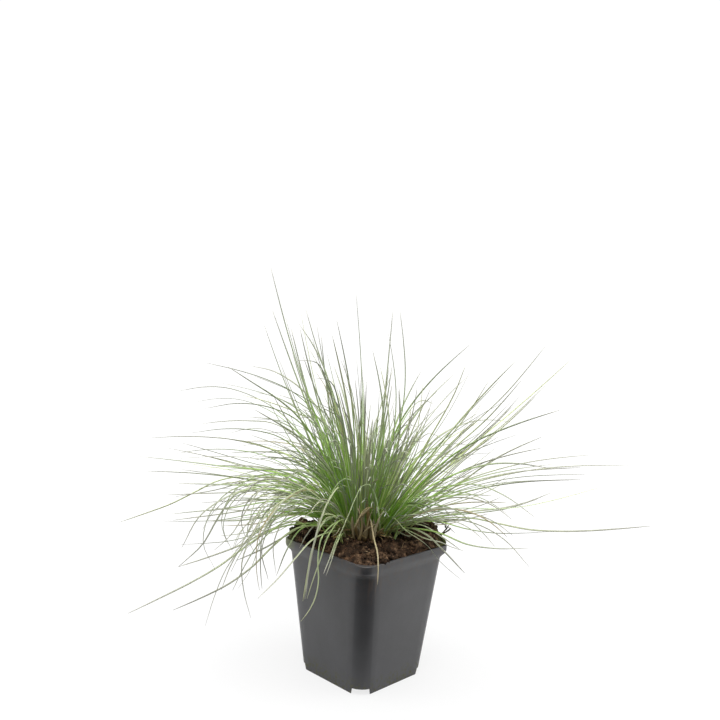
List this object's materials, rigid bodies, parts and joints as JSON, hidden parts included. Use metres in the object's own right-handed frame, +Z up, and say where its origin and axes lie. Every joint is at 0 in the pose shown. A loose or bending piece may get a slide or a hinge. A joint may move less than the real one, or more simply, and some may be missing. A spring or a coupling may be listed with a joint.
{
  "type": "potted ornamental grass",
  "caption": "Clump of fine blue-green fescue blades arching out of a square, tapered nursery pot filled with peat soil",
  "frame": {"origin": "middle of the pot's flat underside, where it rests", "axes": "+Z is up, out of the pot's mouth; X and Y are parallel to the pot's sides; the picture looks at the +X -Y corner"},
  "size_m": [0.367, 0.3208, 0.3],
  "materials": {
    "pot_plastic": "moulded black-grey polypropylene, dull",
    "peat": "moist fibrous peat, matt",
    "blue_green_blade": "living grass blade, waxy bloom",
    "straw": "dried grass blade, matt"
  },
  "bodies": {
    "root": {"dry_blade": "straw", "pot": "pot_plastic", "soil": "peat", "tuft_01": "blue_green_blade", "tuft_02": "blue_green_blade", "tuft_03": "blue_green_blade", "tuft_04": "blue_green_blade", "tuft_05": "blue_green_blade", "tuft_06": "blue_green_blade", "tuft_07": "blue_green_blade", "tuft_08": "blue_green_blade", "tuft_09": "blue_green_blade", "tuft_10": "blue_green_blade", "tuft_11": "blue_green_blade", "tuft_12": "blue_green_blade", "tuft_13": "blue_green_blade", "tuft_14": "blue_green_blade", "tuft_15": "blue_green_blade", "tuft_16": "blue_green_blade", "tuft_17": "blue_green_blade", "tuft_18": "blue_green_blade", "tuft_19": "blue_green_blade", "tuft_20": "blue_green_blade", "tuft_21": "blue_green_blade", "tuft_22": "blue_green_blade", "tuft_23": "blue_green_blade", "tuft_24": "blue_green_blade", "tuft_25": "blue_green_blade", "tuft_26": "blue_green_blade", "tuft_27": "blue_green_blade", "tuft_28": "blue_green_blade", "tuft_29": "blue_green_blade", "tuft_30": "blue_green_blade", "tuft_31": "blue_green_blade", "tuft_32": "blue_green_blade", "tuft_33": "blue_green_blade", "tuft_34": "blue_green_blade", "tuft_35": "blue_green_blade", "tuft_36": "blue_green_blade", "tuft_37": "blue_green_blade", "tuft_38": "blue_green_blade", "tuft_39": "blue_green_blade", "tuft_40": "blue_green_blade", "tuft_41": "blue_green_blade", "tuft_42": "blue_green_blade", "tuft_43": "blue_green_blade", "tuft_44": "blue_green_blade", "tuft_45": "blue_green_blade", "tuft_46": "blue_green_blade", "tuft_47": "blue_green_blade", "tuft_48": "blue_green_blade", "tuft_49": "blue_green_blade", "tuft_50": "blue_green_blade", "tuft_51": "blue_green_blade", "tuft_52": "blue_green_blade", "tuft_arched": "blue_green_blade", "tuft_hanging": "blue_green_blade"}
  },
  "joints": []
}
